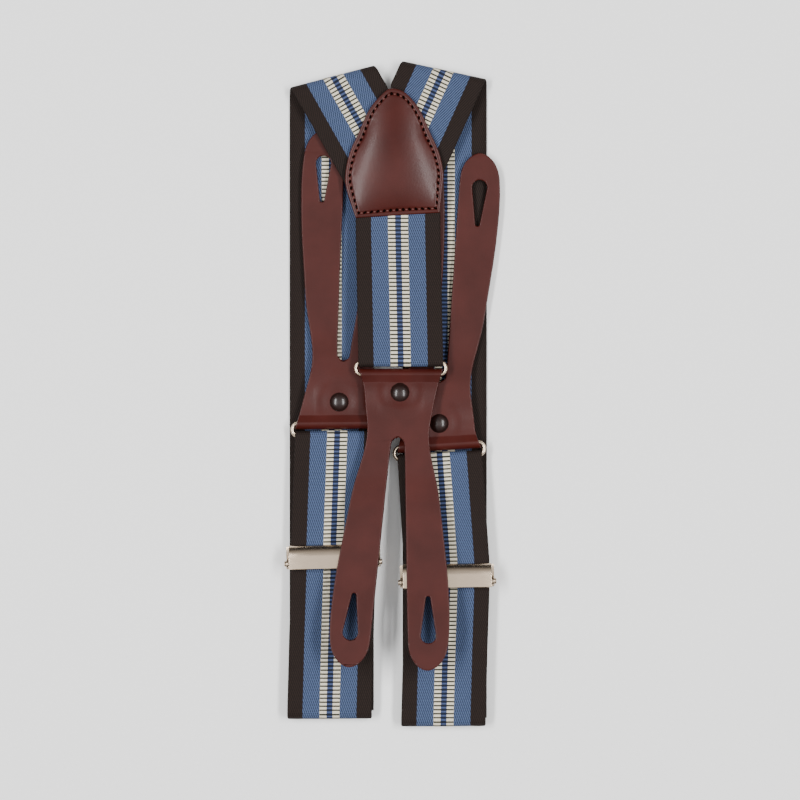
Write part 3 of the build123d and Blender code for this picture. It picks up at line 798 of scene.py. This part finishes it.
def yoke_leather(settings):
    """The domed patch: a rounded edge, the impressed seam and the swell inside it."""
    low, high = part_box("yoke_patch")
    edge, at, total = yoke_edge(360)
    centre = np.array([(low[0] + high[0]) / 2, (low[1] + high[1]) / 2])
    stitches = round(total / settings.stitch_pitch)
    along = at / total * stitches * settings.stitch_pitch
    inset = settings.seam_inset
    rim = low[2] + YOKE_RIM
    profile = [(0.0, low[2]), (0.0, rim - 0.45 * MM), (0.12 * MM, rim - 0.18 * MM), (0.4 * MM, rim)]
    profile += [(1.1 * MM, rim + 0.05 * MM), (inset - 0.55 * MM, rim), (inset - 0.3 * MM, rim - 0.22 * MM)]
    profile += [(inset, rim - 0.36 * MM), (inset + 0.3 * MM, rim - 0.2 * MM)]
    profile += [(inset + 0.7 * MM, rim + 0.05 * MM)]
    flat = len(profile)
    profile += [(inset + 0.7 * MM + share * 16 * MM, rim + 0.05 * MM) for share in np.linspace(0.03, 1, 30)]
    field = pillow(edge, inset + 0.7 * MM)
    points, uvs = [], []
    reach = np.linalg.norm(edge - centre, axis=1)
    deepest = profile[-1][0]
    for ring, (depth, height) in enumerate(profile):
        # Near the edge a ring keeps its distance from it, and further in it closes on the middle.
        blend = (depth / deepest) ** 1.5
        factor = (1 - blend) * (1 - depth / reach) + blend * (1 - depth / (deepest * 1.06))
        plan = centre + (edge - centre) * factor[:, None]
        rise = settings.dome * sample(field, plan) if ring >= flat else np.zeros(len(plan))
        points += [(x, y, height + z) for (x, y), z in zip(plan, rise)]
        uvs += [(s, depth) for s in along]
    count = len(edge)
    points.append((centre[0], centre[1], rim + 0.05 * MM + settings.dome * sample(field, centre[None, :])[0]))
    uvs.append((0, 1))
    points.append((centre[0], centre[1], low[2]))
    uvs.append((0, 1))
    top, bottom = len(points) - 2, len(points) - 1
    faces = []
    for ring in range(len(profile) - 1):
        for i in range(count):
            j = (i + 1) % count
            outer, inner = ring * count, (ring + 1) * count
            faces.append((outer + i, inner + i, inner + j, outer + j))
    last = (len(profile) - 1) * count
    faces += [(last + i, top, last + (i + 1) % count) for i in range(count)]
    faces += [((i + 1) % count, bottom, i) for i in range(count)]
    obj = mesh_piece("yoke_leather", points, faces, uvs)
    # Where the outline closes, the seam's distance goes on to its whole length instead of back to nothing.
    layer = obj.data.uv_layers[0].data
    for polygon in obj.data.polygons:
        columns = [vertex % count for vertex in polygon.vertices]
        if max(columns) == count - 1 and 0 in columns:
            for loop, column in zip(polygon.loop_indices, columns):
                if column == 0:
                    layer[loop].uv.x = stitches * settings.stitch_pitch
    face_outwards(obj)
    smooth_by_angle(obj, 50)
    obj.data.materials.append(
        oxblood_leather(settings, "stitched_oxblood_leather", settings.stitch_pitch, settings.seam_inset)
    )
    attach(obj, "flap")
    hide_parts("yoke_patch")
    return rim, edge, centre, stitches


def yoke_thread(settings, rim, edge, centre, stitches):
    """The seam's stitches: a short fat strand between each needle hole and the next."""
    reach = np.linalg.norm(edge - centre, axis=1)
    line = centre + (edge - centre) * (1 - settings.seam_inset / reach)[:, None]
    closed = np.vstack([line, line[:1]])
    steps = np.linspace(0, len(line), stitches, endpoint=False)
    bpy.ops.mesh.primitive_uv_sphere_add(segments=10, ring_count=6, radius=0.5)
    strand = bpy.context.active_object
    strand.name = "yoke_stitches"
    work = bmesh.new()
    shape = bmesh.new()
    shape.from_mesh(strand.data)
    indices = np.arange(len(closed))
    for start in steps:
        stop = min(start + len(line) / stitches, len(line))
        a, b = (np.array([np.interp(s, indices, closed[:, i]) for i in (0, 1)]) for s in (start, stop))
        middle, span = (a + b) / 2, b - a
        size = np.linalg.norm(span) - STITCH_GAP
        turn = Matrix.Rotation(math.atan2(span[1], span[0]), 4, "Z")
        place = Matrix.Translation((middle[0], middle[1], rim - 0.24 * MM)) @ turn
        place = place @ Matrix.Diagonal((size, 0.8 * MM, 0.55 * MM, 1))
        copy = shape.copy()
        copy.transform(place)
        scratch = bpy.data.meshes.new("strand")
        copy.to_mesh(scratch)
        work.from_mesh(scratch)
        bpy.data.meshes.remove(scratch)
        copy.free()
    work.to_mesh(strand.data)
    work.free()
    shape.free()
    for polygon in strand.data.polygons:
        polygon.use_smooth = True
    strand.data.materials.append(waxed_thread())
    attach(strand, "flap")
    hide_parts("yoke_stitching")


class SUSPENDERS_OT_yoke(bpy.types.Operator):
    """Make the yoke's leather, its stitches and its lining"""

    bl_idname = "suspenders.yoke"
    bl_label = "Yoke"

    def execute(self, context):
        settings = context.scene.suspenders_leather
        deselect()
        yoke_thread(settings, *yoke_leather(settings))
        lining = cad_copy("yoke_lining", "yoke_lining_leather")
        add_bevel(lining, 0.3 * MM, 3, 30)
        apply_modifiers(lining)
        smooth_by_angle(lining)
        lining.data.materials.append(split_lining())
        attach(lining, "flap")
        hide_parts("yoke_lining")
        return {"FINISHED"}


# ---------------------------------------------------------------- leather ends


def slice_across(obj, point, direction, distances, ahead=None, reach=None):
    """Cut edges into the mesh at distances along a direction, on the faces up to a reach ahead."""
    work = bmesh.new()
    work.from_mesh(obj.data)
    for distance in distances:
        faces = work.faces[:]
        if reach:
            faces = [face for face in faces if 0 < (face.calc_center_median() - point).dot(ahead) < reach]
        edges = {edge for face in faces for edge in face.edges}
        verts = {vertex for face in faces for vertex in face.verts}
        bmesh.ops.bisect_plane(
            work,
            geom=[*verts, *edges, *faces],
            plane_co=point + direction * float(distance),
            plane_no=direction,
            dist=1e-7,
        )
    bmesh.ops.dissolve_degenerate(work, edges=work.edges, dist=0.12 * MM)
    work.to_mesh(obj.data)
    work.free()


def rim_points(obj, up):
    """The corners along the top outline and its holes."""
    work = bmesh.new()
    work.from_mesh(obj.data)
    rim = set()
    for edge in work.edges:
        if len(edge.link_faces) == 2 and edge.calc_face_angle(0) > math.radians(55):
            if max(face.normal.dot(up) for face in edge.link_faces) > 0.6:
                rim.update(vertex.index for vertex in edge.verts)
    work.free()
    return [obj.data.vertices[index].co.copy() for index in rim]


def share_of(distance, whole):
    """A distance as a share of another, from 0 to 1."""
    return min(1, max(0, distance / whole))


def shape_leather(obj, wire, ahead, up, rivet, limp):
    """Shape the hide: eased off its tongue, drawn in round the rivet, and wavy."""
    rim = rim_points(obj, up)
    tree = KDTree(len(rim))
    for index, point in enumerate(rim):
        tree.insert(point, index)
    tree.balance()
    for vertex in obj.data.vertices:
        offset = vertex.co - wire
        along, height = offset.dot(ahead), offset.dot(up)
        middle = 0.1 * MM - STEP_DROP * share_of(along - STEP_START, STEP_LENGTH)
        on_top = height > middle
        start = STEP_START + (0.4 * MM if on_top else -0.4 * MM)
        stepped = share_of(along - start, STEP_LENGTH)
        in_tongue = height < -0.78 * MM - STEP_DROP * stepped
        if in_tongue:
            continue
        # The step comes down over a longer stretch than the frame's.
        share = share_of(along - start + 2 * MM, 26 * MM)
        eased = share * share * (3 - 2 * share)
        lift = STEP_DROP * (stepped - eased)
        if along > 20 * MM:
            lift += limp * share_of(along - 20 * MM, 20 * MM) * math.sin(along / (7.5 * MM))
        if on_top and along > 1.5 * MM:
            # Round the rivet the hide bulges in a ring, which dies away at the edges and the fold.
            edge_gap = tree.find(vertex.co)[2]
            away = (vertex.co - rivet).length
            grip = math.exp(-(((away - 8.5 * MM) / (3.2 * MM)) ** 2))
            lift += 0.65 * MM * grip * share_of(along - 1.5 * MM, 5 * MM) * share_of(edge_gap, 4 * MM)
        vertex.co += up * lift


def leather_end(end, material):
    """One forked end: the frame's shape with its cut edges bevelled and its step eased."""
    node = f"{end}_leather_end"
    obj = cad_copy(node, f"{end}_forked_end")
    hinge = JOINTS[f"{end}_end_pivot"]
    wire = Vector(hinge["pos_m"])
    rise = math.radians(REAR_RISE if end == "rear" else 0)
    level = Vector((0, 0, 1)).cross(Vector(hinge["axis"]))
    ahead = level * math.cos(rise) + Vector((0, 0, math.sin(rise)))
    up = Vector((0, 0, math.cos(rise))) - level * math.sin(rise)
    sideways = ahead.cross(up)
    # Slices give the hide points to bend at: across its whole length, and along its neck.
    slice_across(obj, wire, ahead, np.arange(3.6, 122, 1.3) * MM)
    slice_across(obj, wire, sideways, np.arange(-10.4, 10.5, 1.3) * MM, ahead, 25.5 * MM)
    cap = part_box(f"{end}_rivet_cap")
    rivet = (Vector(cap[0]) + Vector(cap[1])) / 2
    shape_leather(obj, wire, ahead, up, rivet, (0.3 if end == "rear" else 0.12) * MM)
    add_bevel(obj, 0.5 * MM, 4, 45).use_clamp_overlap = False
    apply_modifiers(obj)
    smooth_by_angle(obj, 40)
    obj.modifiers.new("weighted", "WEIGHTED_NORMAL").keep_sharp = True
    apply_modifiers(obj)
    obj.data.materials.append(material)
    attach(obj, "rear_end" if end == "rear" else f"{end}_end")
    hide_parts(node)


class SUSPENDERS_OT_leather_ends(bpy.types.Operator):
    """Make the three forked leather ends"""

    bl_idname = "suspenders.leather_ends"
    bl_label = "Leather ends"

    def execute(self, context):
        material = oxblood_leather(context.scene.suspenders_leather)
        for end in ENDS:
            leather_end(end, material)
        return {"FINISHED"}


# ---------------------------------------------------------------- metal


def softened(node, name, width, body, slot, material):
    """A frame node's pressed sheet with its edges rounded."""
    obj = cad_copy(node, name)
    add_bevel(obj, width, 2, 40)
    apply_modifiers(obj)
    smooth_by_angle(obj, 30)
    obj.data.materials.append(material)
    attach(obj, body)
    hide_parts(node)


def dress_node(node, material):
    """Give a frame node that keeps its shape a better material."""
    for slot in frame["nodes"][node].material_slots:
        slot.material = material


def lever_plate(side, edge, material):
    """The lever: a plate, flat at its free end and rolled down at the other, with its barrel on the pins."""
    hinge = JOINTS[f"{side}_lever_pivot"]
    pin, across = Vector(hinge["pos_m"]), Vector(hinge["axis"])
    turn = Matrix.Rotation(math.atan2(across[1], across[0]), 3, "Z")
    bpy.ops.mesh.primitive_grid_add(x_subdivisions=3, y_subdivisions=32, size=1)
    obj = bpy.context.active_object
    obj.name = f"{side}_lever_plate"
    for vertex in obj.data.vertices:
        x, y = vertex.co.x * LEVER_WIDTH, vertex.co.y * LEVER_HEIGHT
        past = max(0, y + 0.2 * MM)
        drop = ROLL_RADIUS - math.sqrt(ROLL_RADIUS**2 - past**2)
        vertex.co = pin + turn @ Vector((x, y + LEVER_HEIGHT / 2 - PIN_UP, LEVER_RISE - drop))
    plate = obj.modifiers.new("plate", "SOLIDIFY")
    plate.thickness = SHEET_THICK
    plate.offset = -1
    add_bevel(obj, 1.6 * edge, 3, 40)
    apply_modifiers(obj)
    deselect()
    bpy.ops.mesh.primitive_cylinder_add(vertices=32, radius=BARREL_RADIUS, depth=LEVER_WIDTH - 0.4 * MM)
    barrel = bpy.context.active_object
    upright = Matrix.Rotation(math.pi / 2, 3, "Y")
    for vertex in barrel.data.vertices:
        vertex.co = pin + turn @ (upright @ vertex.co)
    obj.select_set(True)
    bpy.context.view_layer.objects.active = obj
    bpy.ops.object.join()
    smooth_by_angle(obj, 35)
    obj.data.materials.append(material)
    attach(obj, f"{side}_lever_body")
    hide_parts(f"{side}_lever")


class SUSPENDERS_OT_adjusters(bpy.types.Operator):
    """Make the two lever adjusters"""

    bl_idname = "suspenders.adjusters"
    bl_label = "Adjusters"

    def execute(self, context):
        settings = context.scene.suspenders_metal
        material = satin_nickel(settings)
        deselect()
        for side in SIDES:
            lever_plate(side, settings.edge, material)
            frame_names = (f"{side}_adjuster_frame", f"{side}_adjuster_body")
            softened(*frame_names, settings.edge, f"{side}_adjuster", "satin_nickel", material)
            for end in SIDES:
                dress_node(f"{side}_adjuster_{end}_pin", material)
        return {"FINISHED"}


def wire_ring(end, material):
    """A wire ring with round ends: a torus pulled apart along its middle."""
    hinge = JOINTS[f"{end}_end_pivot"]
    across = Vector(hinge["axis"])
    toward = Vector((0, 0, 1)).cross(across)
    centre = Vector(hinge["pos_m"]) - WIRE_SPREAD * toward
    low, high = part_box(f"{end}_ring")
    half = (high[0] - low[0]) / 2 / abs(across[0])
    bpy.ops.mesh.primitive_torus_add(
        major_radius=WIRE_SPREAD, minor_radius=WIRE_RADIUS, major_segments=48, minor_segments=20
    )
    obj = bpy.context.active_object
    obj.name = f"{end}_wire_ring"
    pull = half - WIRE_SPREAD - WIRE_RADIUS
    turn = Matrix.Rotation(math.atan2(across[1], across[0]), 3, "Z")
    for vertex in obj.data.vertices:
        spot = vertex.co + Vector((pull if vertex.co.x > 0 else -pull, 0, 0))
        vertex.co = centre + turn @ spot
    obj.data.update()
    smooth_by_angle(obj, 60)
    obj.data.materials.append(material)
    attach(obj, "rear_ring_body" if end == "rear" else f"{end}_carriage")
    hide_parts(f"{end}_ring")


class SUSPENDERS_OT_rings(bpy.types.Operator):
    """Make the three wire rings"""

    bl_idname = "suspenders.rings"
    bl_label = "Rings"

    def execute(self, context):
        material = satin_nickel(context.scene.suspenders_metal)
        deselect()
        for end in ENDS:
            wire_ring(end, material)
        return {"FINISHED"}


def rivet_cap(end, material):
    """A domed cap: the top of a sphere, cut level and closed."""
    low, high = (Vector(corner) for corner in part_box(f"{end}_rivet_cap"))
    tilt = math.radians(REAR_RISE if end == "rear" else 0)
    up = Vector((0, math.sin(tilt), math.cos(tilt)))
    sphere = (CAP_RADIUS**2 + CAP_HEIGHT**2) / (2 * CAP_HEIGHT)
    crown = (low + high) / 2
    crown.z = high.z
    centre = crown - up * sphere
    bpy.ops.mesh.primitive_uv_sphere_add(segments=64, ring_count=64, radius=sphere)
    obj = bpy.context.active_object
    obj.name = f"{end}_rivet_dome"
    for vertex in obj.data.vertices:
        vertex.co = centre + vertex.co
    bpy.ops.object.mode_set(mode="EDIT")
    bpy.ops.mesh.select_all(action="SELECT")
    bpy.ops.mesh.bisect(plane_co=crown - up * CAP_HEIGHT, plane_no=up, clear_inner=True, use_fill=True)
    bpy.ops.object.mode_set(mode="OBJECT")
    add_bevel(obj, 0.15 * MM, 2, 30)
    apply_modifiers(obj)
    obj.data.validate()
    smooth_by_angle(obj, 50)
    obj.data.materials.append(material)
    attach(obj, "rear_end" if end == "rear" else f"{end}_end")
    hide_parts(f"{end}_rivet_cap")


class SUSPENDERS_OT_rivets(bpy.types.Operator):
    """Finish the rivet caps and studs"""

    bl_idname = "suspenders.rivets"
    bl_label = "Rivets"

    def execute(self, context):
        material = rivet_lacquer(context.scene.suspenders_metal)
        deselect()
        for end in ENDS:
            rivet_cap(end, material)
            dress_node(f"{end}_rivet_stud", material)
        return {"FINISHED"}


# ---------------------------------------------------------------- stage


def soft_box(name, place, size, power):
    """An area light aimed at the middle of the set."""
    data = bpy.data.lights.new(name, "AREA")
    data.shape = "RECTANGLE"
    data.size, data.size_y = size
    data.energy = power
    obj = bpy.data.objects.new(name, data)
    obj.location = place
    obj.rotation_euler = (Vector((0, 0, 0)) - Vector(place)).to_track_quat("-Z", "Y").to_euler()
    bpy.context.scene.collection.objects.link(obj)


class SUSPENDERS_OT_stage(bpy.types.Operator):
    """Set the floor, the soft boxes and the camera"""

    bl_idname = "suspenders.stage"
    bl_label = "Stage"

    def execute(self, context):
        settings = context.scene.suspenders_stage
        deselect()
        bpy.ops.mesh.primitive_plane_add(size=6, location=(0, 0, 0))
        floor = context.active_object
        floor.name = "floor"
        floor.data.transform(Matrix.Translation((0, 0, FLOOR_HEIGHT)))
        material, shader = new_material("white_paper")
        place = add_node(material, "ShaderNodeTexCoord").outputs["Object"]
        tooth = add_node(material, "ShaderNodeTexNoise", {"Vector": place, "Scale": 1 / PAPER_TOOTH})
        shades = [(0.0, linear("#f4f4f3")), (1.0, linear("#fafafa"))]
        tone = add_node(material, "ShaderNodeValToRGB", {"Fac": tooth}, shades)
        connect(material, shader, {"Base Color": tone, "Roughness": 0.9})
        floor.data.materials.append(material)

        world = bpy.data.worlds.new("soft_room")
        world.use_nodes = True
        place = add_node(world, "ShaderNodeTexCoord").outputs["Generated"]
        height = add_node(world, "ShaderNodeSeparateXYZ", {0: place}).outputs[2]
        shades = [(0.38, linear("#303032")), (0.92, linear("#ffffff"))]
        shade = add_node(world, "ShaderNodeValToRGB", {"Fac": height}, shades)
        connect(world, world.node_tree.nodes["Background"], {"Color": shade, "Strength": 0.85})
        context.scene.world = world
        power = settings.light
        soft_box("left_box", (-0.85, 0.05, 1.35), (1.3, 0.25), 28 * power)
        soft_box("right_box", (0.85, 0.05, 1.35), (1.3, 0.25), 26 * power)
        soft_box("overhead_box", (0.0, -0.1, 1.6), (0.9, 0.9), 1.6 * power)

        camera = bpy.data.objects.new("camera", bpy.data.cameras.new("camera"))
        camera.data.lens = settings.lens
        camera.data.sensor_width = SENSOR_WIDTH
        distance = settings.view_width * settings.lens / SENSOR_WIDTH
        camera.location = (3.9 * MM, -1.7 * MM, distance + 6 * MM)
        camera.data.clip_end = 20
        context.scene.collection.objects.link(camera)
        context.scene.camera = camera
        return {"FINISHED"}


# ---------------------------------------------------------------- add-on


OPERATORS = (
    SUSPENDERS_OT_webbing,
    SUSPENDERS_OT_yoke,
    SUSPENDERS_OT_leather_ends,
    SUSPENDERS_OT_rings,
    SUSPENDERS_OT_adjusters,
    SUSPENDERS_OT_rivets,
    SUSPENDERS_OT_stage,
)


class SUSPENDERS_PT_panel(bpy.types.Panel):
    """Lists the steps that make the suspenders"""

    bl_label = "Suspenders"
    bl_space_type = "VIEW_3D"
    bl_region_type = "UI"
    bl_category = "Suspenders"

    def draw(self, context):
        for operator in OPERATORS:
            self.layout.operator(operator.bl_idname)


SETTINGS = {
    "suspenders_webbing": WebbingSettings,
    "suspenders_leather": LeatherSettings,
    "suspenders_metal": MetalSettings,
    "suspenders_stage": StageSettings,
}


def register():
    """Register every class and hang the settings on the scene."""
    for cls in (*SETTINGS.values(), *OPERATORS, SUSPENDERS_PT_panel):
        bpy.utils.register_class(cls)
    for name, cls in SETTINGS.items():
        setattr(bpy.types.Scene, name, bpy.props.PointerProperty(type=cls))


def unregister():
    """Take the settings and the classes away again."""
    for name in SETTINGS:
        delattr(bpy.types.Scene, name)
    for cls in (SUSPENDERS_PT_panel, *reversed(OPERATORS), *reversed(SETTINGS.values())):
        bpy.utils.unregister_class(cls)


def main():
    """Make every piece and the stage."""
    register()
    bpy.ops.suspenders.stage()
    bpy.ops.suspenders.webbing()
    bpy.ops.suspenders.yoke()
    bpy.ops.suspenders.leather_ends()
    bpy.ops.suspenders.rings()
    bpy.ops.suspenders.adjusters()
    bpy.ops.suspenders.rivets()


if __name__ == "__main__":
    main()
